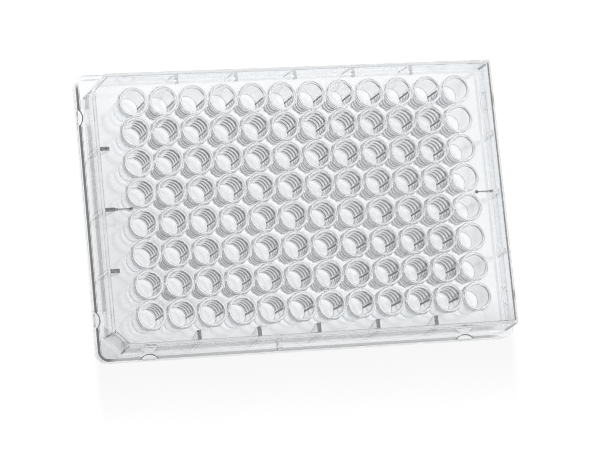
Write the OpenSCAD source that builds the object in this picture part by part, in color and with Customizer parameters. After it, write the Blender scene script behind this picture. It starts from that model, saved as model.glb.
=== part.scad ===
// Clear 96-well flat-bottom well plate, moulded in one piece.
// It stands on its flange. X runs along the columns, Y along the rows, Z up.
// The origin is at the middle of the footprint, on the surface that it stands on.

/* [Footprint] */
// Length over the flange
base_l = 127.76; // [126:0.01:132]
// Width over the flange
base_w = 85.48; // [84.5:0.01:90]
// Corner radius of the flange
base_corner_r = 3.18; // [2.4:0.01:4]
// Thickness of the flange's upright wall
flange_wall = 1.2; // [0.8:0.05:1.6]
// Height of the ledge's upper face
ledge_top = 2.41; // [2:0.01:3]
// Thickness of the ledge
ledge_t = 1.0; // [0.6:0.05:1.4]
// Width of the ledge, from the flange's outer face to the foot of the body
ledge_w = 1.9; // [1.4:0.05:2.2]

/* [Body] */
// Height of the well rims above the surface
plate_h = 14.35; // [12:0.05:17]
// Thickness of the body's side walls
body_wall = 1.0; // [0.7:0.05:1.4]
// How far each side wall leans in, from the ledge to the deck
wall_lean = 0.5; // [0.1:0.05:0.8]
// Thickness of the deck
deck_t = 1.0; // [0.7:0.05:1.6]
// Leg of the cut across the two corners beside the first column
corner_cut = 5.0; // [3:0.1:6]

/* [Wells] */
// Number of columns
columns = 12; // [4:1:12]
// Number of rows
rows = 8; // [4:1:8]
// Distance from well to well
pitch = 9.0; // [8.8:0.01:9.2]
// Inner diameter of a well at its mouth
mouth_d = 7.0; // [6.6:0.05:7.2]
// Inner diameter of a well at its floor
floor_d = 6.6; // [6.2:0.05:6.8]
// Depth of a well, from its rim to its floor
well_depth = 10.7; // [9.5:0.05:11]
// Thickness of a well's wall
well_wall = 0.7; // [0.5:0.02:0.74]
// Thickness of a well's floor
floor_t = 1.1; // [0.8:0.05:1.3]
// Height of the rims above the deck
rim_h = 0.45; // [0.3:0.05:0.8]
// Bevel on both edges of a rim
rim_bevel = 0.12; // [0.05:0.01:0.2]
// Bevel round a well's floor, inside and outside
floor_bevel = 0.3; // [0.1:0.05:0.5]
// Width of the bridges that tie neighbouring rims
bridge_w = 1.0; // [0.5:0.05:1.5]
// Height that the bridges stay below the rims
bridge_drop = 0.15; // [0.05:0.05:0.25]

/* [Ribs, pads and stub] */
// Thickness of the ribs inside the side walls
rib_t = 1.2; // [0.8:0.05:1.4]
// Length of a rib under the deck, from the side wall
rib_reach = 2.8; // [1.5:0.05:3.2]
// Length of a rib at its foot, on the ledge
rib_foot = 0.5; // [0.3:0.05:1]
// Distance between ribs, in wells
rib_step = 2; // [2:1:4]
// Radius of the pin at the end of each middle runner
pin_r = 0.6; // [0.5:0.05:0.8]
// Distance from a pin to the middle of the nearest well column
pin_gap = 3.2; // [3:0.05:4]
// Depth of a pin below the deck
pin_depth = 1.6; // [1:0.1:3]
// Depth of a middle runner below the deck
runner_depth = 0.6; // [0.4:0.1:1]
// Radius of the round pads on the flange's inner face
pad_r = 3.4; // [3:0.1:4]
// How far a pad stands in from the flange's inner face
pad_reach = 0.55; // [0.3:0.05:1]
// Distance of the pads from the middle of the long sides
pad_x = 48.5; // [40:0.5:52]
// Distance of the pads from the middle of the short sides
pad_y = 30.2; // [24:0.1:32]
// Width of the small stub on the ledge, in front of one long side wall
stub_w = 1.2; // [0.8:0.1:2]
// Height of the stub above the ledge
stub_h = 3.0; // [1:0.1:5]
// How far the stub stays behind the flange's outer face
stub_back = 0.3; // [0.2:0.05:0.6]
// Distance of the stub from the middle of its long side
stub_x = 9.8; // [5:0.1:20]

/* [Hidden] */
$fn = 64;
cut_past = 1;
clear_plastic = [0.86, 0.89, 0.91, 0.45];

deck_top = plate_h - rim_h;
deck_under = deck_top - deck_t;
ledge_under = ledge_top - ledge_t;
well_floor = plate_h - well_depth;
well_under = well_floor - floor_t;
mouth_r = mouth_d / 2;
floor_r = floor_d / 2;
taper = (mouth_r - floor_r) / well_depth;
rim_r = mouth_r + well_wall;
under_r = floor_r + well_wall - taper * floor_t;

// Half sizes of the body's foot on the ledge, outside
foot_x = base_l / 2 - ledge_w;
foot_y = base_w / 2 - ledge_w;
lean_slope = wall_lean / (deck_top - ledge_top);

// Ribs stand between two wells, every rib_step wells, on both sides of the middle
function between_wells(count) =
    [for (k = [-floor((count - 1) / 2 / rib_step) : floor((count - 1) / 2 / rib_step)])
        k * rib_step * pitch];

// Everything inside one side wall's outer face, moved in by inset, between two heights.
// The wall faces the given angle, and its foot on the ledge is at reach from the middle.
module behind_wall(angle, reach, inset, bottom, top) {
    far = base_l;
    low = reach - inset + lean_slope * (ledge_top - bottom);
    high = reach - inset - lean_slope * (top - ledge_top);
    rotate([90, 0, angle])
        linear_extrude(height = 2 * far, center = true)
            polygon([[-far, bottom], [low, bottom], [high, top], [-far, top]]);
}

// The body as a solid: four leaning sides, and two cut corners beside the first column
module body_block(inset, bottom, top) {
    cut_reach = (foot_x + foot_y - corner_cut) / sqrt(2);
    intersection() {
        behind_wall(0, foot_x, inset, bottom, top);
        behind_wall(90, foot_y, inset, bottom, top);
        behind_wall(180, foot_x, inset, bottom, top);
        behind_wall(270, foot_y, inset, bottom, top);
        behind_wall(135, cut_reach, inset, bottom, top);
        behind_wall(225, cut_reach, inset, bottom, top);
    }
}

// Rounded plan of the flange, moved in by inset
module flange_plan(inset) {
    l = base_l - 2 * inset;
    w = base_w - 2 * inset;
    r = base_corner_r - inset;
    square([l - 2 * r, w], center = true);
    square([l, w - 2 * r], center = true);
    for (sx = [-1, 1], sy = [-1, 1])
        translate([sx * (l / 2 - r), sy * (w / 2 - r)])
            circle(r);
}

// Places its child at every well
module at_wells() {
    for (c = [0 : columns - 1], r = [0 : rows - 1])
        translate([(c - (columns - 1) / 2) * pitch, (r - (rows - 1) / 2) * pitch, 0])
            children();
}

// Outside of one well, from its underside to its rim
module well_outside() {
    rotate_extrude()
        polygon([
            [0, well_under],
            [under_r - floor_bevel, well_under],
            [under_r, well_under + floor_bevel],
            [rim_r, plate_h - rim_bevel],
            [rim_r - rim_bevel, plate_h],
            [0, plate_h],
        ]);
}

// Space inside one well, open at the top
module well_inside() {
    rotate_extrude()
        polygon([
            [0, well_floor],
            [floor_r - floor_bevel, well_floor],
            [floor_r + taper * floor_bevel, well_floor + floor_bevel],
            [mouth_r, plate_h - rim_bevel],
            [mouth_r + rim_bevel, plate_h],
            [mouth_r + rim_bevel, plate_h + cut_past],
            [0, plate_h + cut_past],
        ]);
}

// Bars that tie the rims together, along every row and every column
module bridges() {
    top = plate_h - bridge_drop;
    for (r = [0 : rows - 1])
        translate([-(columns - 1) * pitch / 2, (r - (rows - 1) / 2) * pitch - bridge_w / 2, deck_under])
            cube([(columns - 1) * pitch, bridge_w, top - deck_under]);
    for (c = [0 : columns - 1])
        translate([(c - (columns - 1) / 2) * pitch - bridge_w / 2, -(rows - 1) * pitch / 2, deck_under])
            cube([bridge_w, (rows - 1) * pitch, top - deck_under]);
}

// One rib on the inside of a side wall that faces the given angle
module rib(angle, reach, along) {
    head = reach - wall_lean - body_wall - rib_reach;
    foot = reach - body_wall - rib_foot;
    back = reach - wall_lean - body_wall / 2;
    rotate([0, 0, angle])
        translate([0, along + rib_t / 2, 0])
            rotate([90, 0, 0])
                linear_extrude(height = rib_t)
                    polygon([[foot, ledge_under], [back, ledge_under], [back, deck_top - deck_t / 2],
                        [head, deck_top - deck_t / 2], [head, deck_under - rib_t]]);
}

module ribs() {
    for (along = between_wells(columns), angle = [90, 270])
        rib(angle, foot_y, along);
    for (along = between_wells(rows), angle = [0, 180])
        rib(angle, foot_x, along);
}

// A runner from each middle rib to a pin beside the wells
module runners() {
    pin_x = (columns - 1) / 2 * pitch + pin_gap;
    run_end = foot_x - wall_lean - body_wall - rib_reach;
    for (side = [0, 180])
        rotate([0, 0, side]) {
            translate([pin_x, 0, deck_under - pin_depth])
                cylinder(h = pin_depth + deck_t / 2, r = pin_r);
            translate([pin_x, -rib_t / 4, deck_under - runner_depth])
                cube([run_end - pin_x + rib_t, rib_t / 2, runner_depth + deck_t / 2]);
        }
}

// Round pads on the inner face of the flange
module pads() {
    centre_in = flange_wall + pad_reach - pad_r;
    linear_extrude(height = ledge_top - ledge_t / 2)
        intersection() {
            flange_plan(0);
            union() {
                for (sx = [-1, 1], sy = [-1, 1]) {
                    translate([sx * pad_x, sy * (base_w / 2 - centre_in)])
                        circle(pad_r);
                    translate([sx * (base_l / 2 - centre_in), sy * pad_y])
                        circle(pad_r);
                }
            }
        }
}

// A small stub that stands on the ledge against one long side wall
module stub() {
    translate([-stub_x - stub_w / 2, stub_back - base_w / 2, ledge_top - ledge_t / 2])
        cube([stub_w, ledge_w - stub_back + body_wall / 2, stub_h + ledge_t / 2]);
}

// Flange, side walls and deck, hollow and open underneath
module shell() {
    difference() {
        union() {
            linear_extrude(height = ledge_top)
                flange_plan(0);
            body_block(0, ledge_top - ledge_t / 2, deck_top);
        }
        translate([0, 0, -cut_past])
            linear_extrude(height = ledge_under + cut_past)
                flange_plan(flange_wall);
        body_block(body_wall, ledge_under - cut_past, deck_under);
    }
}

module plate() {
    color(clear_plastic)
        difference() {
            union() {
                shell();
                at_wells()
                    well_outside();
                bridges();
                ribs();
                runners();
                pads();
                stub();
            }
            at_wells()
                well_inside();
        }
}

plate();
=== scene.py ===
"""Looks of a clear flat-bottomed well plate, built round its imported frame."""

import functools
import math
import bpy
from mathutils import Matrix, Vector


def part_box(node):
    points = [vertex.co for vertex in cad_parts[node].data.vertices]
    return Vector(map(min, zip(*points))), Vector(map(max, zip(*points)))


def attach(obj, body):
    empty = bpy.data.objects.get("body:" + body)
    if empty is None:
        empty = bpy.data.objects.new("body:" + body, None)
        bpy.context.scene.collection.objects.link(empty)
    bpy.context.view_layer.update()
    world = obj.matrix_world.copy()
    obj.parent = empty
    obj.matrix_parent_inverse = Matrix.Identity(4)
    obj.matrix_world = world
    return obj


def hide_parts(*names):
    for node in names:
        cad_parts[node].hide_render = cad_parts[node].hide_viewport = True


bl_info = {
    "name": "Clear Well Plate",
    "version": (1, 0, 0),
    "blender": (4, 5, 0),
    "location": "View3D > Sidebar > Well Plate",
    "description": "Builds a moulded clear well plate and its studio",
    "category": "Add Mesh",
}

import bmesh
import bpy
from mathutils import Matrix, Vector

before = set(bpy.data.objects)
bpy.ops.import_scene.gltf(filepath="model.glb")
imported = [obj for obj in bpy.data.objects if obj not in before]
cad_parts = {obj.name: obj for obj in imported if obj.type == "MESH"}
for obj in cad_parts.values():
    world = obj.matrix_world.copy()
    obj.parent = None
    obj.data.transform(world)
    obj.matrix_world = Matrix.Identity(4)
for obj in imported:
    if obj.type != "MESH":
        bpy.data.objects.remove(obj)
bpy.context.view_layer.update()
LOW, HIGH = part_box("plate")

MM = 0.001
# Finest gap between two points that are still two points
WELD = 1e-6
# Steps round a well or a pad, round a pin, and round one corner of the flange and of the body
ROUND_STEPS = 48
PIN_STEPS = 24
FLANGE_CORNER_STEPS = 8
BODY_CORNER_STEPS = 3
# Edges that turn by more than this stay sharp, and large faces weigh this much in the shading
SHARP_ANGLE = math.radians(50)
FLAT_WEIGHT = 80
# The floor reaches far enough to be the horizon, and lies just below the plate's foot
FLOOR_REACH = 6.0
FLOOR_GAP = 0.05 * MM

BLACK = (0.0, 0.0, 0.0, 1.0)
WHITE = (1.0, 1.0, 1.0, 1.0)
# Widths of the painted lines and marks of shade on the plastic, and the softness of their edges
LINE = 0.2 * MM
HAIR = 0.1 * MM
SOFT = 0.04 * MM
# A surface counts as level from this share of its normal's height
LEVEL = (0.6, 0.9)
# How much a step along Y counts against one along X, and their sum at the corner where the painted shade is
# darkest
SLANT = 0.6
DARKEST_SHADE_CORNER = 1.4 * LOW.x
# Heights above a well's floor where its wall begins
OVER_FLOOR = (0.5 * MM, 0.9 * MM)
# Depths below the rims between which the first wells' near walls darken with painted shadow
NEAR_WALL_DEPTHS = (7 * MM, 2 * MM)
# Depths below the rims between which the painted dark streak down a well's wall ends, and half its width
STREAK_TOP = (2 * MM, MM)
STREAK_HALF = 0.3 * MM
# Place of the second painted dark line along a cut corner, and length of the painted dark knob at a rib's
# head
SECOND_LINE = (0.7 * MM, MM)
KNOB = 0.9 * MM
# How near a well's diagonal its painted rings begin, and where a ring's swing begins and ends
RING_DIAGONAL = (0.05, 0.5)
RING_SWING = (-0.15, 0.35)
# Distances from one of the plate's sides between which a painted shade changes
FRONT_FADE = (14 * MM, 4 * MM)
END_FADE = (12 * MM, 6 * MM)
WALL_FADE = (10 * MM, 6 * MM)
RIB_FADE = (12 * MM, 8 * MM)
FOOT_FADE_BACK = (4 * MM, 1.5 * MM)
FOOT_FADE_END = (8 * MM, 4 * MM)
FOOT_FADE_START = (6 * MM, 3 * MM)
# What is left of the side walls' painted shade at the far sides, and of the rib roots' at each of them
FAR_WALLS = 0.3
END_RIBS = 0.2
BACK_RIBS = 0.55
# What is left of the flange's painted dark foot away from the first column
LONG_FOOT = 0.6
# Waves for each metre, and detail, of the flow ripple and of the uneven polish
FLOW_NOISE = (120.0, 2.0)
POLISH_NOISE = (260.0, 4.0)
# Least and greatest roughness, as shares of the mean
POLISH_RANGE = (0.4, 1.6)
# Both ends of the floor's painted shade in front of the plate, and where its sides fade out and in
DIP_ENDS = (1.8 * LOW.y, 0.8 * LOW.y)
DIP_SIDES = (1.04 * HIGH.x, 0.98 * HIGH.x)
# How much wider than its size the soft box fades out
BOX_FADE = 1.4


def amount(name, description, default, **kind):
    """A number."""
    return bpy.props.FloatProperty(name=name, description=description, default=default, **kind)


def length(name, description, default):
    """A size in metres, given in millimetres."""
    return amount(name, description, default * MM, min=0.0, unit="LENGTH", precision=5)


def share(name, description, default):
    """A share, from none to all."""
    return amount(name, description, default, min=0.0, max=1.0, subtype="FACTOR")


def triple(name, description, default, **kind):
    """Three numbers, such as a colour or a place."""
    return bpy.props.FloatVectorProperty(
        name=name, description=description, default=default, size=3, **kind
    )


class PlateSizes(bpy.types.PropertyGroup):
    """Sizes of the moulding. The footprint and the height come from the frame."""

    corner_radius: length("Flange corner", "Corner radius of the flange", 3.18)
    flange_wall: length("Flange wall", "Thickness of the flange's upright wall", 1.2)
    ledge_top: length("Ledge height", "Height of the ledge's upper face", 2.41)
    ledge_thickness: length("Ledge thickness", "Thickness of the ledge", 1.0)
    ledge_width: length("Ledge width", "From the flange's outer face to the body's foot", 1.9)
    body_wall: length("Body wall", "Thickness of the side walls", 1.0)
    wall_lean: length("Wall lean", "How far a side wall leans in up to the deck", 0.5)
    deck_thickness: length("Deck thickness", "Thickness of the deck", 1.0)
    corner_cut: length("Corner cut", "Leg of the cut across two corners", 5.0)
    edge_round: length("Edge rounding", "Rounding on the edges of the body", 0.25)
    flange_round: length("Flange rounding", "Rounding on the edges of the flange", 0.2)
    upright_round: length("Upright rounding", "Rounding on the body's upright corners", 0.5)


class WellSizes(bpy.types.PropertyGroup):
    """Sizes of the wells and of what ties them together."""

    columns: bpy.props.IntProperty(name="Columns", description="Wells along the plate", default=12, min=2)
    rows: bpy.props.IntProperty(name="Rows", description="Wells across the plate", default=8, min=2)
    pitch: length("Pitch", "Distance from well to well", 9.0)
    mouth_diameter: length("Mouth", "Inner diameter at the rim", 7.0)
    floor_diameter: length("Floor", "Inner diameter at the floor", 6.6)
    depth: length("Depth", "From the rim to the floor", 10.7)
    wall: length("Wall", "Thickness of a well's wall", 0.7)
    floor_thickness: length("Floor thickness", "Thickness of a well's floor", 1.1)
    rim_height: length("Rim height", "Height of the rims above the deck", 0.45)
    rim_round: length("Rim rounding", "Rounding on both edges of a rim", 0.12)
    floor_round: length("Floor rounding", "Rounding round the floor", 0.3)
    root_round: length("Root rounding", "Rounding where a well meets the deck's underside", 0.15)
    bridge_width: length("Bridge width", "Width of the bridges between neighbouring rims", 1.0)
    bridge_drop: length("Bridge drop", "How far the bridges stay below the rims", 0.15)


class RibSizes(bpy.types.PropertyGroup):
    """Sizes of the ribs, runners and pads underneath, and of the stub on the ledge."""

    thickness: length("Rib thickness", "Thickness of the ribs", 1.2)
    reach: length("Rib reach", "Length of a rib under the deck", 2.8)
    foot: length("Rib foot", "Length of a rib at its foot", 0.5)
    step: bpy.props.IntProperty(name="Rib step", description="Wells between two ribs", default=2, min=1)
    pin_radius: length("Pin radius", "Radius of the pin at a runner's end", 0.6)
    pin_gap: length("Pin gap", "From a pin to the nearest well column's middle", 3.2)
    pin_depth: length("Pin depth", "Depth of a pin below the deck", 1.6)
    runner_depth: length("Runner depth", "Depth of a runner below the deck", 0.6)
    pad_radius: length("Pad radius", "Radius of the flange's round pads", 3.4)
    pad_reach: length("Pad reach", "How far a pad stands in from the flange", 0.55)
    pad_x: length("Pad place, long side", "From the middle of a long side to a pad", 48.5)
    pad_y: length("Pad place, short side", "From the middle of a short side to a pad", 30.2)
    stub_width: length("Stub width", "Width of the small stub on the ledge", 1.2)
    stub_height: length("Stub height", "Height of the stub above the ledge", 3.0)
    stub_back: length("Stub set-back", "From the flange's outer face to the stub", 0.3)
    stub_place: length("Stub place", "From the middle of its long side to the stub", 9.8)


class PlasticFinish(bpy.types.PropertyGroup):
    """Finish of the clear plastic. Its shades are painted shade in the plastic's colour, standing in for
    the greys, rings and dark lines that refraction and light caught in the walls give a real plate. A shade
    of 1 is fully clear.
    """

    ior: amount("IOR", "Refractive index of polystyrene", 1.59, min=1.0)
    roughness: share("Roughness", "Mean roughness of the moulded surface", 0.02)
    ripple: share("Ripple", "Strength of the moulded surface's flow ripple", 0.05)
    smoke: amount("Smoke", "Grey that thick sections gather, for each metre", 8.0, min=0.0)
    tint: triple("Tint", "Faint colour of the clear plastic", (0.975, 0.988, 1.0), subtype="COLOR")
    # Painted shade: the shades below stand in for the light and shade seen in the clear plastic
    deck_shade: share("Deck", "Shade of the deck and the side walls", 0.98)
    # Painted shade: the deck and the ledge darken beside the first column and row, most at one corner, and
    # beside the last column
    painted_dimming: share("Drift", "Shade that the deck keeps beside the first column and row", 0.85)
    corner_shade: share("Smokiest corner", "Further shade that the deck keeps at its smokiest corner", 0.97)
    ledge_shade: share("Ledge", "Shade that the ledge keeps at its smokiest corner", 0.84)
    end_shade: share("Far end", "Shade that the deck keeps beside the last column", 0.93)
    # Painted shade of the wells' walls: darker far walls, a painted shadow on the first wells' near walls,
    # and darker front rows
    well_shade: share("Well walls", "Shade of the wells' walls", 0.97)
    far_wall_shade: share("Far walls", "Shade of the last row's and column's walls", 0.89)
    near_wall_shade: share("Near walls", "Shade of the first row's and column's near walls", 0.5)
    # Painted shade: a dark streak down a wall where a bridge shows through by refraction
    streak_shade: share("Streak", "Shade of the line down a wall beside the next well", 0.0)
    painted_front_row_shade: share("Smokier wells", "Shade that the wells' walls keep in the first row", 0.82)
    floor_shade: share("Well floors", "Shade of the wells' floors", 1.0)
    # Painted shade of the side walls and the cut corners
    body_shade: share("Side walls", "Shade of the body's side walls", 0.92)
    facet_shade: share("Cut corners", "Shade of the two cut corners", 0.8)
    # Painted shade: dark lines along the body's edges and round the rims
    edge_shade: share("Edges", "Shade of the lines along the body's edges", 0.7)
    outline_shade: share("Rim outline", "Shade of the line round each rim", 0.8)
    # Painted shade: the flange's foot and the pads' outline
    foot_shade: share("Flange foot", "Shade of the flange's foot", 0.04)
    # Painted shade: the ribs and the dark bars on the deck above them
    rib_shade: share("Ribs", "Shade of the ribs", 0.97)
    root_shade: share("Rib roots", "Shade of the deck above the ribs", 0.1)
    # Painted shade of the deck above the runners and pins
    runner_shade: share("Runners", "Shade of the deck above the runners", 0.1)
    frost: share("Rim frost", "How milky the rims' tops are", 0.1)
    # Painted rings of shade on the wells' walls, and the small bump that goes with them
    ring_light: share("Ring gap", "Shade between the rings on the wells' walls", 0.88)
    ring_dark: share("Ring", "Shade of the rings on the wells' walls", 0.0)
    ring_bias: share("Ring width", "How much wider the rings on a wall's outside are", 0.6)
    ring_fade: share("Ring fade", "What is left of the rings at the last column", 0.92)
    ring_pitch: length("Ring pitch", "Height from ring to ring", 2.65)
    ring_top: length("Top ring", "Height of the highest ring", 13.0)
    ring_relief: length("Ring relief", "Height of the ripple that goes with the rings", 0.01)


class StudioSettings(bpy.types.PropertyGroup):
    """Floor, light and camera."""

    floor_colour: triple("Floor", "Colour of the floor's light", (1.0, 1.0, 1.0), subtype="COLOR")
    floor_glow: amount("Floor glow", "Light that the floor gives out, as a light table does", 1.0, min=0.0)
    # Painted shade on the floor in front of the plate, standing in for the plate's faded reflection
    painted_floor_dip: share("Floor dip", "Glow that the floor keeps just in front of the plate", 0.83)
    floor_gloss: share("Floor gloss", "How much the polished floor mirrors", 0.4)
    floor_roughness: share("Floor roughness", "Roughness of the floor's polish", 0.1)
    lens: amount("Lens", "Focal length", 172.6, unit="CAMERA")
    camera_place: triple(
        "Camera place", "Camera position", (-0.22775, -0.14598, 0.82331),
        subtype="TRANSLATION", unit="LENGTH"
    )
    camera_turn: triple(
        "Camera turn", "Camera rotation",
        (math.radians(10.80), math.radians(-14.605), math.radians(-5.656)),
        subtype="EULER", unit="ROTATION"
    )
    horizon: amount("Horizon", "Brightness of the sky at the horizon", 0.95)
    zenith: amount("Zenith", "Brightness of the sky overhead", 1.1)
    box_place: triple("Soft box", "Direction of the soft box", (-0.5, 0.9, 0.9), subtype="DIRECTION")
    box_size: amount(
        "Soft box size", "Angle from the soft box's middle to its side", math.radians(10), subtype="ANGLE"
    )
    box_glow: amount("Soft box glow", "Brightness of the soft box", 2.8)


# -------- rings and skins

def plan_face(bm, half_x, half_y, z, left_cut, corner_round, corner_steps):
    """One flat face: a rectangle with its left corners cut and every corner rounded."""
    before = set(bm.faces)
    corners = [(half_x, half_y), (-half_x, half_y), (-half_x, -half_y), (half_x, -half_y)]
    verts = [bm.verts.new((x, y, z)) for x, y in corners]
    bm.faces.new(verts)
    if left_cut:
        left = [v for v in verts if v.co.x < 0]
        bmesh.ops.bevel(
            bm, geom=left, offset=left_cut, segments=1, profile=0.5, affect="VERTICES", material=-1
        )
    face = next(f for f in bm.faces if f not in before)
    if corner_round:
        square = [v for v in face.verts if not left_cut or v.co.x > 0]
        blunt = [v for v in face.verts if v not in square]
        for group, offset in ((square, corner_round), (blunt, corner_round * math.tan(math.pi / 8))):
            if group:
                bmesh.ops.bevel(
                    bm, geom=group, offset=offset, segments=corner_steps, profile=0.5,
                    affect="VERTICES", material=-1
                )
    return next(f for f in bm.faces if f not in before)


def ring(bm, *plan):
    """The outline of a plan face, as a closed loop of edges."""
    face = plan_face(bm, *plan)
    edges = list(face.edges)
    bmesh.ops.delete(bm, geom=[face], context="FACES_ONLY")
    return edges


def skin(bm, rings):
    """Walls from ring to ring."""
    for lower, upper in zip(rings, rings[1:]):
        bmesh.ops.bridge_loops(bm, edges=lower + upper)


def fill_between(bm, outer, inner):
    """A flat sheet between an outer and an inner ring."""
    bmesh.ops.triangle_fill(bm, edges=outer + inner, use_beauty=True, normal=(0, 0, 1))


def round_steps(radius, steps, concave=False):
    """(inset, rise) pairs along a quarter round, from upright to flat, or the other way if concave."""
    turns = [math.pi / 2 * k / steps for k in range(steps + 1)]
    if concave:
        return [(radius * math.sin(a), radius * (1 - math.cos(a))) for a in turns]
    return [(radius * (1 - math.cos(a)), radius * math.sin(a)) for a in turns]


def rounding(start, height, radius, steps=2, across=1, up=1, concave=False):
    """Profile points along a quarter round from a place and a height. A -1 mirrors it."""
    return [(start + across * a, height + up * b) for a, b in round_steps(radius, steps, concave)]


# -------- one well

def revolve(bm, profile):
    """Turns a profile of (radius, height) points once round Z."""
    verts = [bm.verts.new((radius, 0.0, height)) for radius, height in profile]
    edges = [bm.edges.new(pair) for pair in zip(verts, verts[1:])]
    bmesh.ops.spin(
        bm, geom=verts + edges, cent=(0, 0, 0), axis=(0, 0, 1), angle=2 * math.pi,
        steps=ROUND_STEPS, use_merge=True
    )
    bmesh.ops.remove_doubles(bm, verts=bm.verts[:], dist=WELD)


def rim_edges(bm, height):
    """Open edges that lie at one height."""
    return [e for e in bm.edges if e.is_boundary and all(abs(v.co.z - height) < WELD for v in e.verts)]


def points(geometry):
    """The vertices among the geometry."""
    return [g for g in geometry if isinstance(g, bmesh.types.BMVert)]


def square_off(bm, height, half):
    """Carries the open circle at the given height out to the square cell round the well."""
    made = bmesh.ops.extrude_edge_only(bm, edges=rim_edges(bm, height))["geom"]
    for v in points(made):
        v.co.xy *= half / max(abs(v.co.x), abs(v.co.y))


def wall_slope(wells):
    """How much a well's radius grows for each unit of height."""
    return (wells.mouth_diameter - wells.floor_diameter) / 2 / wells.depth


def deck_height(wells):
    """Height of the deck's upper face."""
    return HIGH.z - wells.rim_height


def well_top(bm, wells):
    """Upper skin of one cell: floor, wall, rounded rim and the deck round it."""
    mouth, floor = wells.mouth_diameter / 2, wells.floor_diameter / 2
    top, floor_z, deck_z = HIGH.z, HIGH.z - wells.depth, deck_height(wells)
    outer = mouth + wells.wall
    foot = outer - wall_slope(wells) * wells.rim_height
    rim, low, root = wells.rim_round, wells.floor_round, wells.root_round
    profile = [(0.0, floor_z), *rounding(floor - low, floor_z, low, concave=True)]
    profile += rounding(mouth, top - rim, rim)
    profile += reversed(rounding(outer, top - rim, rim, across=-1))
    profile += [(foot, deck_z + root), (foot + root, deck_z)]
    revolve(bm, profile)
    square_off(bm, deck_z, wells.pitch / 2)


def well_underside(bm, wells, deck_thickness):
    """Lower skin of one cell: the deck's underside, the well's outer wall and its bottom."""
    slope = wall_slope(wells)
    under_z = HIGH.z - wells.depth - wells.floor_thickness
    deck_z = deck_height(wells) - deck_thickness
    edge, root = wells.floor_round, wells.root_round
    low = wells.floor_diameter / 2 + wells.wall - slope * wells.floor_thickness
    high = wells.mouth_diameter / 2 + wells.wall - slope * (HIGH.z - deck_z)
    profile = [(0.0, under_z), *rounding(low - edge, under_z, edge, concave=True)]
    profile += rounding(high, deck_z - root, root)
    revolve(bm, profile)
    square_off(bm, deck_z, wells.pitch / 2)


def last_column(wells):
    """Distance of the last column's middle from the plate's middle."""
    return (wells.columns - 1) / 2 * wells.pitch


def last_row(wells):
    """Distance of the last row's middle from the plate's middle."""
    return (wells.rows - 1) / 2 * wells.pitch


def well_places(wells):
    """The middle of every well."""
    return [
        Vector(((c - (wells.columns - 1) / 2) * wells.pitch, (r - (wells.rows - 1) / 2) * wells.pitch, 0.0))
        for c in range(wells.columns) for r in range(wells.rows)
    ]


def field_of_wells(wells, deck_thickness):
    """Every well's cell, joined edge to edge into an upper and a lower skin."""
    bm = bmesh.new()
    for make in (lambda b: well_top(b, wells), lambda b: well_underside(b, wells, deck_thickness)):
        part = bmesh.new()
        make(part)
        mesh = bpy.data.meshes.new("cell")
        part.to_mesh(mesh)
        part.free()
        bm.from_mesh(mesh)
        bpy.data.meshes.remove(mesh)
    cell = bm.verts[:] + bm.edges[:] + bm.faces[:]
    places = well_places(wells)
    for place in places[1:]:
        made = bmesh.ops.duplicate(bm, geom=cell)["geom"]
        bmesh.ops.translate(bm, verts=points(made), vec=place)
    bmesh.ops.translate(bm, verts=points(cell), vec=places[0])
    bmesh.ops.remove_doubles(bm, verts=[v for v in bm.verts if v.is_boundary], dist=WELD)
    return bm


# -------- body and flange

def flange_ring(bm, plate, inset, z):
    """Outline of the flange, moved in by inset."""
    radius = plate.corner_radius - inset
    return ring(bm, HIGH.x - inset, HIGH.y - inset, z, 0.0, radius, FLANGE_CORNER_STEPS)


def body_ring(bm, plate, wells, inset, z):
    """Outline of the leaning body at one height, moved in by inset."""
    slope = plate.wall_lean / (deck_height(wells) - plate.ledge_top)
    lean = inset + slope * (z - plate.ledge_top)
    cut = plate.corner_cut - (2 - math.sqrt(2)) * lean
    reach = plate.ledge_width + lean
    return ring(bm, HIGH.x - reach, HIGH.y - reach, z, cut, plate.upright_round, BODY_CORNER_STEPS)


def body_skin(bm, plate, wells, flange, body):
    """One skin over the (inset, height) steps of the flange and of the body above it."""
    flange_rings = [flange_ring(bm, plate, *step) for step in flange]
    body_rings = [body_ring(bm, plate, wells, *step) for step in body]
    skin(bm, flange_rings)
    skin(bm, body_rings)
    fill_between(bm, flange_rings[-1], body_rings[0])
    return flange_rings[0], body_rings[-1]


def outside(bm, plate, wells):
    """Outer skin of the flange and the body. Returns its lowest and highest rings."""
    turn, edge = plate.flange_round, plate.edge_round
    flange = [*reversed(rounding(0, turn, turn, up=-1)), *rounding(0, plate.ledge_top - turn, turn)]
    body = rounding(-edge, plate.ledge_top, edge, concave=True)
    body += rounding(0, deck_height(wells) - edge, edge, steps=3)
    return body_skin(bm, plate, wells, flange, body)


def inside(bm, plate, wells):
    """Inner skin of the flange and the body. Returns its lowest and highest rings."""
    turn, edge, wall = plate.flange_round, plate.edge_round, plate.body_wall
    ledge_under = plate.ledge_top - plate.ledge_thickness
    deck_under = deck_height(wells) - plate.deck_thickness
    foot = reversed(rounding(plate.flange_wall, turn, turn, across=-1, up=-1))
    flange = [*foot, (plate.flange_wall, ledge_under)]
    body = [*reversed(rounding(wall, ledge_under + edge, edge, across=-1, up=-1))]
    body += rounding(wall, deck_under - edge, edge)
    return body_skin(bm, plate, wells, flange, body)


def moulding(plate, wells):
    """The whole closed shell of the plate, without its bridges, ribs and pads."""
    bm = field_of_wells(wells, plate.deck_thickness)
    deck_z = deck_height(wells)
    field_top = rim_edges(bm, deck_z)
    field_under = rim_edges(bm, deck_z - plate.deck_thickness)
    outer_foot, deck_edge = outside(bm, plate, wells)
    inner_foot, under_edge = inside(bm, plate, wells)
    fill_between(bm, deck_edge, field_top)
    fill_between(bm, under_edge, field_under)
    fill_between(bm, outer_foot, inner_foot)
    close_shell(bm)
    return bm


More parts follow.
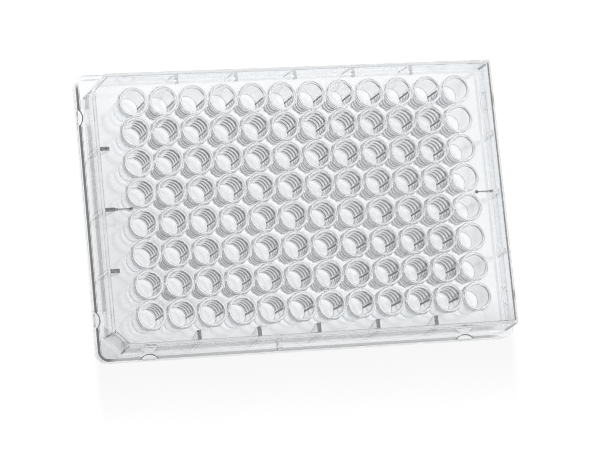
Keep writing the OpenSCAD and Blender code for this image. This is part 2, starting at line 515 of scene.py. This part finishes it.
def close_shell(bm):
    """Checks that every edge joins two faces, and points the faces outwards."""
    open_edges = [e for e in bm.edges if len(e.link_faces) != 2]
    if open_edges:
        raise RuntimeError(f"{len(open_edges)} edges of the shell don't join two faces")
    bmesh.ops.recalc_face_normals(bm, faces=bm.faces[:])


# -------- bridges, ribs, runners, pads and stub

def block(bm, low, high):
    """A block between two corners."""
    low, high = Vector(low), Vector(high)
    verts = bmesh.ops.create_cube(bm, size=1.0)["verts"]
    bmesh.ops.scale(bm, verts=verts, vec=high - low)
    bmesh.ops.translate(bm, verts=verts, vec=(low + high) / 2)


def add_bridges(bm, plate, wells):
    """Bars between the walls of neighbouring wells, a little lower than their rims."""
    half = wells.bridge_width / 2
    reach = (wells.mouth_diameter + wells.wall) / 2
    low = deck_height(wells) - plate.deck_thickness / 2
    high = HIGH.z - wells.bridge_drop
    for place in well_places(wells):
        if place.x < last_column(wells) - WELD:
            start = place.x + reach
            end = place.x + wells.pitch - reach
            block(bm, (start, place.y - half, low), (end, place.y + half, high))
        if place.y < last_row(wells) - WELD:
            start = place.y + reach
            end = place.y + wells.pitch - reach
            block(bm, (place.x - half, start, low), (place.x + half, end, high))


def between_wells(count, step, pitch):
    """Places between two wells, every step wells, on both sides of the middle."""
    side = int((count - 1) / 2 / step)
    return [k * step * pitch for k in range(-side, side + 1)]


def add_rib(bm, plate, wells, ribs, reach, angle, along):
    """One rib inside the side wall that faces the given angle."""
    ledge_under = plate.ledge_top - plate.ledge_thickness
    deck_mid = deck_height(wells) - plate.deck_thickness / 2
    head = reach - plate.wall_lean - plate.body_wall - ribs.reach
    foot = reach - plate.body_wall - ribs.foot
    back = reach - plate.wall_lean - plate.body_wall / 2
    shoulder = deck_height(wells) - plate.deck_thickness - ribs.thickness
    outline = [
        (foot, ledge_under), (back, ledge_under), (back, deck_mid), (head, deck_mid), (head, shoulder)
    ]
    side = -ribs.thickness / 2
    face = bm.faces.new([bm.verts.new((x, side, z)) for x, z in outline])
    made = bmesh.ops.extrude_face_region(bm, geom=[face])["geom"]
    moved = points(made)
    bmesh.ops.translate(bm, verts=moved, vec=(0, ribs.thickness, 0))
    whole = list(face.verts) + moved
    bmesh.ops.translate(bm, verts=whole, vec=(0, along, 0))
    bmesh.ops.rotate(bm, verts=whole, cent=(0, 0, 0), matrix=Matrix.Rotation(angle, 3, "Z"))


def add_ribs(bm, plate, wells, ribs):
    """Ribs inside all four side walls."""
    foot = HIGH.xy - Vector((plate.ledge_width, plate.ledge_width))
    for along in between_wells(wells.columns, ribs.step, wells.pitch):
        for angle in (math.pi / 2, -math.pi / 2):
            add_rib(bm, plate, wells, ribs, foot.y, angle, along)
    for along in between_wells(wells.rows, ribs.step, wells.pitch):
        for angle in (0, math.pi):
            add_rib(bm, plate, wells, ribs, foot.x, angle, along)


def runner_ends(plate, wells, ribs):
    """Where a runner's pin and its rib's head stand along X."""
    head = HIGH.x - plate.ledge_width - plate.wall_lean - plate.body_wall - ribs.reach
    return last_column(wells) + ribs.pin_gap, head


def add_runners(bm, plate, wells, ribs):
    """A runner from each middle rib to a pin beside the wells."""
    deck_mid = deck_height(wells) - plate.deck_thickness / 2
    deck_under = deck_height(wells) - plate.deck_thickness
    pin_x, head = runner_ends(plate, wells, ribs)
    half = ribs.thickness / 4
    for side in (-1, 1):
        ends = sorted((side * pin_x, side * (head + ribs.thickness)))
        block(bm, (ends[0], -half, deck_under - ribs.runner_depth), (ends[1], half, deck_mid))
        pin = Matrix.Translation((side * pin_x, 0, (deck_mid + deck_under - ribs.pin_depth) / 2))
        bmesh.ops.create_cone(
            bm, cap_ends=True, segments=PIN_STEPS, radius1=ribs.pin_radius, radius2=ribs.pin_radius,
            depth=deck_mid - deck_under + ribs.pin_depth, matrix=pin
        )


def add_pad(bm, plate, ribs, place, inward):
    """One round pad, standing in from the middle of the flange's wall."""
    height = plate.ledge_top - plate.ledge_thickness / 2
    made = bmesh.ops.create_cone(
        bm, cap_ends=True, segments=ROUND_STEPS, radius1=ribs.pad_radius, radius2=ribs.pad_radius,
        depth=height, matrix=Matrix.Translation((place.x, place.y, height / 2))
    )["verts"]
    edges = list({e for v in made for e in v.link_edges})
    faces = list({f for v in made for f in v.link_faces})
    cut = place + inward * (ribs.pad_radius - ribs.pad_reach - plate.flange_wall / 2)
    sliced = bmesh.ops.bisect_plane(
        bm, geom=made + edges + faces, plane_co=(*cut, 0), plane_no=(*inward, 0), clear_inner=True
    )["geom_cut"]
    bmesh.ops.contextual_create(bm, geom=[g for g in sliced if isinstance(g, bmesh.types.BMEdge)])


def add_pads(bm, plate, ribs):
    """Two pads on the inner face of each side of the flange."""
    in_from_edge = plate.flange_wall + ribs.pad_reach - ribs.pad_radius
    for side in (-1, 1):
        for end in (-1, 1):
            long_side = Vector((end * ribs.pad_x, side * (HIGH.y - in_from_edge)))
            add_pad(bm, plate, ribs, long_side, Vector((0, -side)))
            short_side = Vector((side * (HIGH.x - in_from_edge), end * ribs.pad_y))
            add_pad(bm, plate, ribs, short_side, Vector((-side, 0)))


def add_stub(bm, plate, ribs):
    """A small stub on the ledge, against one long side wall."""
    left = -ribs.stub_place - ribs.stub_width / 2
    front = LOW.y + ribs.stub_back
    back = LOW.y + plate.ledge_width + plate.body_wall / 2
    low = (left, front, plate.ledge_top - plate.ledge_thickness / 2)
    block(bm, low, (left + ribs.stub_width, back, plate.ledge_top + ribs.stub_height))


def to_object(bm, name):
    """Makes an object of a bmesh and frees the bmesh."""
    bmesh.ops.recalc_face_normals(bm, faces=bm.faces[:])
    mesh = bpy.data.meshes.new(name)
    bm.to_mesh(mesh)
    bm.free()
    piece = bpy.data.objects.new(name, mesh)
    bpy.context.scene.collection.objects.link(piece)
    return piece


def bake_modifiers(piece):
    """Replaces a piece's mesh by what its modifiers make of it."""
    evaluated = piece.evaluated_get(bpy.context.evaluated_depsgraph_get())
    mesh = bpy.data.meshes.new_from_object(evaluated)
    piece.modifiers.clear()
    old = piece.data
    piece.data = mesh
    bpy.data.meshes.remove(old)


def fuse(piece, added):
    """Joins the added object's solids to the piece, as one skin."""
    union = piece.modifiers.new("union", "BOOLEAN")
    union.operation = "UNION"
    union.solver = "MANIFOLD"
    union.object = added
    bake_modifiers(piece)
    bpy.data.objects.remove(added)


def smooth_finish(piece):
    """Smooth shading that keeps flat faces flat beside small roundings."""
    mesh = piece.data
    mesh.shade_smooth()
    mesh.set_sharp_from_angle(angle=SHARP_ANGLE)
    weighted = piece.modifiers.new("weighted normals", "WEIGHTED_NORMAL")
    weighted.mode = "FACE_AREA"
    weighted.weight = FLAT_WEIGHT
    weighted.keep_sharp = True
    bake_modifiers(piece)


# -------- node arithmetic

def feed(node, sockets):
    """Sets a node's sockets. Plain values go on them, and the results of other nodes are linked."""
    for name, value in sockets.items():
        if isinstance(value, bpy.types.NodeSocket):
            node.id_data.links.new(value, node.inputs[name])
        else:
            node.inputs[name].default_value = value
    return node


def formula(operation, *values):
    """A Math node's result."""
    tree = next(v.id_data for v in values if isinstance(v, bpy.types.NodeSocket))
    node = tree.nodes.new("ShaderNodeMath")
    node.operation = operation
    return feed(node, dict(enumerate(values))).outputs["Value"]


def times(a, b, added=0.0):
    return formula("MULTIPLY_ADD", a, b, added)


plus = functools.partial(formula, "ADD")
minus = functools.partial(formula, "SUBTRACT")
least = functools.partial(formula, "MINIMUM")
most = functools.partial(formula, "MAXIMUM")
above = functools.partial(formula, "GREATER_THAN")
below = functools.partial(formula, "LESS_THAN")
size_of = functools.partial(formula, "ABSOLUTE")


def ease(value, start, end, low=0.0, high=1.0):
    """Runs smoothly from low, where the value is at start, to high, where it is at end."""
    node = value.id_data.nodes.new("ShaderNodeMapRange")
    node.interpolation_type = "SMOOTHSTEP"
    ends = {"From Min": start, "From Max": end, "To Min": low, "To Max": high}
    return feed(node, {"Value": value, **ends}).outputs["Result"]


def near_side(value, side, fade, low=0.0, high=1.0):
    """Runs from low to high as the value nears one of the plate's sides, between two distances."""
    inward = -1 if side > 0 else 1
    away, close = fade
    return ease(value, side + inward * away, side + inward * close, low, high)


def within(value, low, high, soft=SOFT):
    """1 between low and high, 0 outside, with soft limits."""
    return times(ease(value, low - soft, low + soft), ease(value, high + soft, high - soft))


def all_of(*masks):
    """The masks multiplied together."""
    return functools.reduce(times, masks)


def blend_to(start, end, mask):
    """Goes from one shade to another where the mask is 1."""
    numbers = isinstance(start, float) and isinstance(end, float)
    step = end - start if numbers else minus(end, start)
    return times(mask, step, start)


def darken(shade, mask, factor):
    """Multiplies the shade by the factor where the mask is 1."""
    return times(shade, blend_to(1.0, factor, mask))


def measure(operation, vector, fixed):
    """The number that a Vector Math node makes of a vector and a fixed one."""
    node = vector.id_data.nodes.new("ShaderNodeVectorMath")
    node.operation = operation
    return feed(node, {0: vector, 1: fixed}).outputs["Value"]


def distance_to(x, y, place):
    """Distance from a point in plan."""
    point = feed(x.id_data.nodes.new("ShaderNodeCombineXYZ"), {"X": x, "Y": y})
    return measure("DISTANCE", point.outputs["Vector"], (*place, 0.0))


def position(tree, kind):
    """A place or a normal: the whole of it, and its X, Y and Z."""
    whole = tree.nodes.new("ShaderNodeTexCoord").outputs[kind]
    return whole, *feed(tree.nodes.new("ShaderNodeSeparateXYZ"), {"Vector": whole}).outputs


# -------- clear plastic and floor

class Spot:
    """A spot on the plate's surface: where it lies, and the masks that several painted shades share."""

    def __init__(self, tree, plate, wells):
        self.place, self.x, self.y, self.z = position(tree, "Object")
        self.side_x, self.side_y = size_of(self.x), size_of(self.y)
        self.level = ease(size_of(position(tree, "Normal")[-1]), *LEVEL)
        self.upright = minus(1.0, self.level)
        self.round_the_well(wells)
        self.in_from_edges(plate, wells)
        deck_z = deck_height(wells)
        on_top = within(self.z, deck_z - HAIR / 2, deck_z + LINE, SOFT * 0.75)
        self.on_deck = times(self.level, on_top)
        self.field = times(below(self.side_x, wells.columns / 2 * wells.pitch),
                           below(self.side_y, wells.rows / 2 * wells.pitch))
        self.last_column = above(self.x, last_column(wells))
        self.rims = ease(self.z, HIGH.z - LINE, HIGH.z - HAIR)
        self.corner_ward = times(self.y, SLANT, self.x)

    def round_the_well(self, wells):
        """Where it lies round the nearest well: distance, diagonal, far side, and off the row's line."""
        steps = (formula("DIVIDE", value, wells.pitch) for value in (self.x, self.y))
        across, along = (minus(formula("FRACT", step), 0.5) for step in steps)
        squared = plus(formula("POWER", across, 2.0), formula("POWER", along, 2.0))
        self.distance = times(formula("SQRT", squared), wells.pitch)
        self.diagonal = formula("DIVIDE", times(size_of(times(across, along)), 2.0), squared)
        self.far_side = above(times(along, SLANT, across), 0.0)
        self.off_row = times(size_of(along), wells.pitch)
        self.past_mid_wall = above(self.distance, (wells.mouth_diameter + wells.wall) / 2)

    def in_from_edges(self, plate, wells):
        """How far it lies inside the body's leaning sides (square), its cut corners, and either (edge)."""
        slope = plate.wall_lean / (deck_height(wells) - plate.ledge_top)
        lean = times(self.z, slope, -slope * plate.ledge_top)
        half_x = minus(HIGH.x - plate.ledge_width, lean)
        half_y = minus(HIGH.y - plate.ledge_width, lean)
        beside_y = minus(half_y, self.side_y)
        cut = times(lean, math.sqrt(2) - 2, plate.corner_cut)
        from_corner = plus(plus(half_x, self.x), beside_y)
        self.square = least(minus(half_x, self.side_x), beside_y)
        self.beside_cut = times(minus(from_corner, cut), math.sqrt(0.5))
        self.edge = least(self.square, self.beside_cut)

    def in_from_flange(self, plate):
        """How far it lies inside the flange's outer face, its rounded corners included."""
        past_x = minus(self.side_x, HIGH.x - plate.corner_radius)
        past_y = minus(self.side_y, HIGH.y - plate.corner_radius)
        turned = distance_to(most(past_x, 0.0), most(past_y, 0.0), (0.0, 0.0))
        straight = least(most(past_x, past_y), 0.0)
        return minus(plate.corner_radius, plus(turned, straight))

    def off_pads(self, plate, ribs):
        """Distance from the flange's round pads, negative inside them."""
        out = ribs.pad_radius - plate.flange_wall - ribs.pad_reach
        short_side = distance_to(self.side_x, self.side_y, (HIGH.x + out, ribs.pad_y))
        long_side = distance_to(self.side_x, self.side_y, (ribs.pad_x, HIGH.y + out))
        return minus(least(short_side, long_side), ribs.pad_radius)

    def off_ribs(self, wells, ribs):
        """Distance from the nearest rib's middle plane, and whether there is such a rib (1)."""
        spacing = ribs.step * wells.pitch
        long_side = below(self.side_x, last_column(wells))
        across = plus(times(self.x, long_side), times(self.y, minus(1.0, long_side)))
        step = formula("FRACT", times(across, 1 / spacing, 0.5))
        off = size_of(times(step, spacing, -spacing / 2))
        return off, most(long_side, below(self.side_y, 1.5 * spacing))


def deck_and_ledge(spot, finish, plate, wells):
    """Painted shade of the deck, the ledge and the wells' floors, darker towards one corner and the sides.
    """
    floor_z = HIGH.z - wells.depth
    over_floor = [floor_z + rise for rise in OVER_FLOOR]
    shade = ease(spot.z, *over_floor, finish.floor_shade, finish.deck_shade)
    # Painted shade, darker beside the first column and row, at one corner and beside the last column
    painted_dimming = ease(spot.corner_ward, LOW.x, LOW.x / 3, finish.painted_dimming, 1.0)
    painted_dimming = least(painted_dimming, near_side(spot.y, LOW.y, FRONT_FADE, 1.0, finish.painted_dimming))
    painted_dimming = least(painted_dimming, near_side(spot.x, HIGH.x, END_FADE, 1.0, finish.end_shade))
    painted_dimming = times(painted_dimming, ease(spot.corner_ward, DARKEST_SHADE_CORNER, 0.8 * LOW.x, finish.corner_shade, 1.0))
    on_ledge = all_of(
        spot.level, ease(spot.edge, HAIR, -HAIR),
        within(spot.z, plate.ledge_top / 2, plate.ledge_top + HAIR)
    )
    # Painted shade on the ledge, darkest at one corner
    ledge_dimming = times(on_ledge, ease(spot.corner_ward, LOW.x / 2, DARKEST_SHADE_CORNER))
    shade = darken(shade, ledge_dimming, finish.ledge_shade)
    return times(shade, blend_to(1.0, painted_dimming, ease(spot.z, *over_floor)))


def painted_rings(spot, finish, wells):
    """Painted rings of shade on the wells' walls, wherever four wells meet: (where they are, 1 on a ring).

    They stand in for the dark arcs that refraction through the neighbouring wells shows, and lie on the
    inside of a well's far wall and on the outside of its near wall.
    """
    zone = all_of(
        below(spot.side_x, last_column(wells)), below(spot.side_y, last_row(wells)), spot.upright,
        size_of(minus(spot.past_mid_wall, spot.far_side)), ease(spot.diagonal, *RING_DIAGONAL),
        within(spot.z, HIGH.z - wells.depth, deck_height(wells) - HAIR, HAIR),
        ease(spot.x, LOW.x, HIGH.x, 1.0, finish.ring_fade)
    )
    turn = times(minus(spot.z, finish.ring_top), 2 * math.pi / finish.ring_pitch)
    swing = times(spot.past_mid_wall, finish.ring_bias, formula("COSINE", turn))
    return zone, ease(swing, *RING_SWING)


def well_walls(shade, spot, finish, wells, zone, wave):
    """Painted shade of the wells' walls: far and near walls, rims, rings, and the darker front rows."""
    # Painted shade: all walls, then the far walls and the painted shadow on the first wells' near walls
    walls = times(spot.upright, spot.field)
    shade = blend_to(shade, finish.well_shade, walls)
    last = most(above(spot.y, last_row(wells)), times(spot.last_column, 0.5))
    shade = blend_to(shade, finish.far_wall_shade, times(walls, last))
    first = most(below(spot.y, -last_row(wells)), below(spot.x, -last_column(wells)))
    first = times(first, minus(1.0, spot.far_side))
    upper = near_side(spot.z, HIGH.z, NEAR_WALL_DEPTHS)
    shade = blend_to(shade, finish.near_wall_shade, all_of(walls, first, upper))
    shade = blend_to(shade, 1.0, spot.rims)
    # Painted rings of shade
    shade = blend_to(shade, blend_to(finish.ring_light, finish.ring_dark, wave), zone)
    # Painted shade: a dark streak down a far wall, beside the next well
    streak = all_of(
        walls, minus(1.0, spot.past_mid_wall), spot.far_side, minus(1.0, spot.last_column),
        within(spot.off_row, -MM, STREAK_HALF, HAIR), near_side(spot.z, HIGH.z, STREAK_TOP, 1.0, 0.0)
    )
    shade = darken(shade, streak, finish.streak_shade)
    # Painted shade, darker towards the first row
    front_row_dimming = all_of(walls, minus(1.0, first), ease(spot.y, HIGH.y / 2, LOW.y))
    return darken(shade, front_row_dimming, finish.painted_front_row_shade)


def painted_edge_lines(shade, spot, finish, plate, wells):
    """Painted dark lines on the deck: round the rims, along the cut corners and along the body's edges.

    The one beside the last column is by far the darkest.
    """
    rim = wells.mouth_diameter / 2 + wells.wall
    around_rim = within(spot.distance, rim - HAIR / 2, rim + LINE)
    shade = darken(shade, all_of(around_rim, spot.on_deck, spot.field), finish.outline_shade)
    wall = plate.body_wall
    for near, far in ((-HAIR, LINE), (wall - 1.5 * HAIR, wall + HAIR)):
        shade = darken(shade, times(spot.on_deck, within(spot.edge, near, far)), finish.edge_shade)
    strong = all_of(
        spot.on_deck, above(spot.x, HIGH.x - 2 * plate.corner_cut),
        below(spot.side_y, HIGH.y - plate.ledge_width - plate.wall_lean - wall),
        within(spot.edge, wall - 2 * LINE, wall + HAIR)
    )
    shade = darken(shade, strong, finish.edge_shade ** 6)
    lines = most(within(spot.beside_cut, -HAIR, LINE), within(spot.beside_cut, *SECOND_LINE))
    along_cut = all_of(spot.on_deck, below(spot.beside_cut, spot.square), lines)
    return darken(shade, along_cut, finish.edge_shade ** 2)


def side_walls(spot, plate):
    """Mask of the body's side walls for their painted shade, weaker on the two far sides."""
    return all_of(
        spot.upright, within(spot.edge, -HAIR, plate.body_wall + 0.3 * MM),
        above(spot.z, plate.ledge_top - plate.ledge_thickness),
        near_side(spot.y, HIGH.y, WALL_FADE, 1.0, FAR_WALLS),
        near_side(spot.x, HIGH.x, WALL_FADE, 1.0, FAR_WALLS)
    )


def cut_corners(shade, spot, finish, plate):
    """Painted shade on the two cut corners' faces, with a painted dark line down each side."""
    above_ledge = ease(spot.z, plate.ledge_top, plate.ledge_top + LINE)
    facet = all_of(spot.upright, within(spot.beside_cut, -HAIR, HAIR), above_ledge)
    shade = darken(shade, facet, finish.facet_shade)
    return darken(shade, times(facet, below(spot.square, 2 * LINE)), finish.edge_shade)


def painted_foot_shade(shade, spot, finish, plate, ribs):
    """Painted dark foot of the flange, between its round pads, and the pads' painted dark outline."""
    pads = spot.off_pads(plate, ribs)
    feet = all_of(
        spot.level, ease(spot.z, plate.flange_round + HAIR, plate.flange_round),
        within(spot.in_from_flange(plate), 0.0, plate.flange_wall), ease(pads, -HAIR, HAIR),
        near_side(spot.y, HIGH.y, FOOT_FADE_BACK, 1.0, 0.0),
        near_side(spot.x, HIGH.x, FOOT_FADE_END, 1.0, 0.0),
        near_side(spot.x, LOW.x, FOOT_FADE_START, LONG_FOOT, 1.0)
    )
    shade = darken(shade, feet, finish.foot_shade)
    pad_rim = times(within(pads, -LINE, HAIR), below(spot.z, plate.ledge_top / 2))
    return darken(shade, pad_rim, finish.foot_shade)


def painted_rib_shade(shade, spot, finish, plate, wells, ribs, walls):
    """Painted shade of the ribs, painted dark bars on the deck above them, and painted lines down the side
    walls beside them.
    """
    wall = plate.body_wall
    under = deck_height(wells) - plate.deck_thickness - LINE
    on_rib = times(within(spot.edge, wall + LINE, wall + ribs.reach + HAIR),
                   within(spot.z, plate.ledge_top - plate.ledge_thickness - HAIR, under))
    shade = darken(shade, on_rib, finish.rib_shade)
    off_rib, real_rib = spot.off_ribs(wells, ribs)
    half = ribs.thickness / 2
    roots = all_of(
        spot.on_deck, real_rib, within(off_rib, -ribs.thickness, half),
        within(spot.square, wall, wall + ribs.reach),
        near_side(spot.x, HIGH.x, RIB_FADE, 1.0, END_RIBS),
        near_side(spot.y, HIGH.y, RIB_FADE, 1.0, BACK_RIBS)
    )
    shade = darken(shade, roots, finish.root_shade)
    beside = all_of(walls, real_rib, within(off_rib, half - LINE, half + HAIR))
    return darken(shade, beside, finish.edge_shade ** 2)


def painted_runner_shade(shade, spot, finish, plate, wells, ribs):
    """Painted dark pins and runners, as seen through the deck, with a painted knob where a runner meets its
    rib.
    """
    pin_x, rib_head = runner_ends(plate, wells, ribs)
    half = ribs.thickness / 6
    runner = times(within(spot.side_x, pin_x, rib_head), within(spot.y, -half, half))
    knob = times(within(spot.side_x, rib_head - KNOB, rib_head + LINE),
                 within(spot.y, -2 * LINE, 2 * LINE))
    shade = darken(shade, times(spot.on_deck, most(runner, knob)), finish.runner_shade)
    pins = distance_to(spot.side_x, spot.y, (pin_x, 0.0))
    on_pin = ease(pins, ribs.pin_radius, 0.8 * ribs.pin_radius)
    return darken(shade, times(spot.on_deck, on_pin), finish.root_shade)


def painted_plastic_shade(spot, finish, plate, wells, ribs):
    """How clear the plastic is painted from place to place, as painted light and shade, and where its
    painted rings stand proud.
    """
    zone, wave = painted_rings(spot, finish, wells)
    walls = side_walls(spot, plate)
    shade = deck_and_ledge(spot, finish, plate, wells)
    shade = well_walls(shade, spot, finish, wells, zone, wave)
    shade = painted_edge_lines(shade, spot, finish, plate, wells)
    # Painted shade of the side walls
    shade = darken(shade, walls, finish.body_shade)
    shade = cut_corners(shade, spot, finish, plate)
    shade = painted_foot_shade(shade, spot, finish, plate, ribs)
    shade = painted_rib_shade(shade, spot, finish, plate, wells, ribs, walls)
    return painted_runner_shade(shade, spot, finish, plate, wells, ribs), times(zone, wave)


def tinted(shade, tint):
    """The shade as a colour."""
    channels = {k: times(shade, part) for k, part in enumerate(tint)}
    return feed(shade.id_data.nodes.new("ShaderNodeCombineColor"), channels).outputs["Color"]


def noise(place, scale, detail):
    """A noise pattern on the object."""
    node = place.id_data.nodes.new("ShaderNodeTexNoise")
    return feed(node, {"Vector": place, "Scale": scale, "Detail": detail}).outputs["Fac"]


def raised(height, sockets):
    """The normal of a bump."""
    node = height.id_data.nodes.new("ShaderNodeBump")
    return feed(node, {"Height": height, **sockets}).outputs["Normal"]


def new_material(name):
    """A new material with its node tree."""
    material = bpy.data.materials.new(name)
    material.use_nodes = True
    return material, material.node_tree


def clear_polystyrene(finish, plate, wells, ribs):
    """Clear polystyrene: glassy with a faint smoke absorption, flow marks and slightly uneven polish, and
    painted shade in its colour for its rings and lines.
    """
    material, tree = new_material("clear_polystyrene")
    spot = Spot(tree, plate, wells)
    # Painted shade for the base colour, and the bump under the painted rings
    shade, relief = painted_plastic_shade(spot, finish, plate, wells, ribs)
    roughness = [finish.roughness * part for part in POLISH_RANGE]
    flow = raised(noise(spot.place, *FLOW_NOISE), {"Strength": finish.ripple, "Distance": HAIR})
    feed(tree.nodes["Principled BSDF"], {
        "IOR": finish.ior,
        "Base Color": tinted(shade, finish.tint),
        "Transmission Weight": blend_to(1.0, 1.0 - finish.frost, spot.rims),
        "Roughness": ease(noise(spot.place, *POLISH_NOISE), 0.0, 1.0, *roughness),
        "Normal": raised(relief, {"Distance": finish.ring_relief, "Normal": flow}),
    })
    smoke = tree.nodes.new("ShaderNodeVolumeAbsorption")
    feed(smoke, {"Color": BLACK, "Density": finish.smoke})
    feed(tree.nodes["Material Output"], {"Volume": smoke.outputs["Volume"]})
    return material


def floor_finish(studio):
    """Pale polished floor that glows a little, as a light table does, with painted shade that dims it in
    front of the plate.
    """
    material, tree = new_material("pale_floor")
    _, x, y, _ = position(tree, "Object")
    # Painted shade: the glow dips in front of the plate
    front = all_of(*(ease(y, end, LOW.y) for end in DIP_ENDS), ease(size_of(x), *DIP_SIDES))
    bright = blend_to(1.0, studio.painted_floor_dip, front)
    glow = feed(tree.nodes["Principled BSDF"], {
        "Base Color": BLACK,
        "Specular IOR Level": 0.0,
        "Emission Color": tinted(bright, studio.floor_colour),
        "Emission Strength": studio.floor_glow,
    })
    polish = tree.nodes.new("ShaderNodeBsdfGlossy")
    feed(polish, {"Color": WHITE, "Roughness": studio.floor_roughness})
    mix = tree.nodes.new("ShaderNodeMixShader")
    feed(mix, {"Fac": studio.floor_gloss, 1: glow.outputs["BSDF"], 2: polish.outputs["BSDF"]})
    feed(tree.nodes["Material Output"], {"Surface": mix.outputs["Shader"]})
    material.cycles.emission_sampling = "NONE"
    return material


# -------- studio

def studio_sky(studio):
    """Soft even sky, a little brighter overhead, with one soft box in it."""
    world = bpy.data.worlds.new("studio")
    bpy.context.scene.world = world
    world.use_nodes = True
    world.cycles.sampling_method = "NONE"
    tree = world.node_tree
    place, _, _, up = position(tree, "Generated")
    sky = times(up, studio.zenith - studio.horizon, studio.horizon)
    aim = measure("DOT_PRODUCT", place, Vector(studio.box_place).normalized())
    box = ease(aim, math.cos(BOX_FADE * studio.box_size), math.cos(studio.box_size))
    feed(tree.nodes["Background"], {"Color": times(box, studio.box_glow, most(sky, studio.horizon))})


class PLATE_OT_moulding(bpy.types.Operator):
    """Build the clear plate in place of its plain solid"""

    bl_idname = "plate.moulding"
    bl_label = "Plate"

    def execute(self, context):
        scene = context.scene
        plate, wells, ribs = scene.plate_sizes, scene.well_sizes, scene.rib_sizes
        piece = to_object(moulding(plate, wells), "clear_plate")
        added = bmesh.new()
        add_bridges(added, plate, wells)
        fuse(piece, to_object(added, "bridges"))
        added = bmesh.new()
        add_ribs(added, plate, wells, ribs)
        add_pads(added, plate, ribs)
        add_stub(added, plate, ribs)
        fuse(piece, to_object(added, "ribs_and_pads"))
        added = bmesh.new()
        add_runners(added, plate, wells, ribs)
        fuse(piece, to_object(added, "runners"))
        smooth_finish(piece)
        piece.data.materials.clear()
        piece.data.materials.append(clear_polystyrene(scene.plastic_finish, plate, wells, ribs))
        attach(piece, "root")
        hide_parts("plate")
        return {"FINISHED"}


class PLATE_OT_studio(bpy.types.Operator):
    """Build the pale floor, the soft sky and the camera"""

    bl_idname = "plate.studio"
    bl_label = "Studio"

    def execute(self, context):
        scene = context.scene
        studio = scene.studio_settings
        bm = bmesh.new()
        bmesh.ops.create_grid(bm, x_segments=1, y_segments=1, size=FLOOR_REACH)
        bmesh.ops.translate(bm, verts=bm.verts[:], vec=(0, 0, LOW.z - FLOOR_GAP))
        floor = to_object(bm, "floor")
        floor.data.materials.append(floor_finish(studio))
        studio_sky(studio)
        camera = bpy.data.cameras.new("camera")
        camera.lens = studio.lens
        camera.clip_start = 0.01
        view = bpy.data.objects.new("camera", camera)
        view.location = studio.camera_place
        view.rotation_euler = studio.camera_turn
        scene.collection.objects.link(view)
        scene.camera = view
        scene.view_settings.view_transform = "Standard"
        scene.cycles.filter_width = 1.0
        scene.cycles.max_bounces = 32
        scene.cycles.transmission_bounces = 32
        scene.cycles.glossy_bounces = 16
        return {"FINISHED"}


class PLATE_PT_panel(bpy.types.Panel):
    """Lists what the script builds"""

    bl_idname = "PLATE_PT_panel"
    bl_label = "Well Plate"
    bl_space_type = "VIEW_3D"
    bl_region_type = "UI"
    bl_category = "Well Plate"

    def draw(self, context):
        for group in (getattr(context.scene, name) for name in GROUPS):
            box = self.layout.box()
            for name in group.__annotations__:
                box.prop(group, name)
        self.layout.operator(PLATE_OT_moulding.bl_idname)
        self.layout.operator(PLATE_OT_studio.bl_idname)


GROUPS = {
    "plate_sizes": PlateSizes,
    "well_sizes": WellSizes,
    "rib_sizes": RibSizes,
    "plastic_finish": PlasticFinish,
    "studio_settings": StudioSettings,
}
CLASSES = (*GROUPS.values(), PLATE_OT_moulding, PLATE_OT_studio, PLATE_PT_panel)


def register():
    for item in CLASSES:
        bpy.utils.register_class(item)
    for name, group in GROUPS.items():
        setattr(bpy.types.Scene, name, bpy.props.PointerProperty(type=group))


def unregister():
    for name in GROUPS:
        delattr(bpy.types.Scene, name)
    for item in reversed(CLASSES):
        bpy.utils.unregister_class(item)


def main():
    register()
    bpy.ops.plate.moulding()
    bpy.ops.plate.studio()


if __name__ == "__main__":
    main()
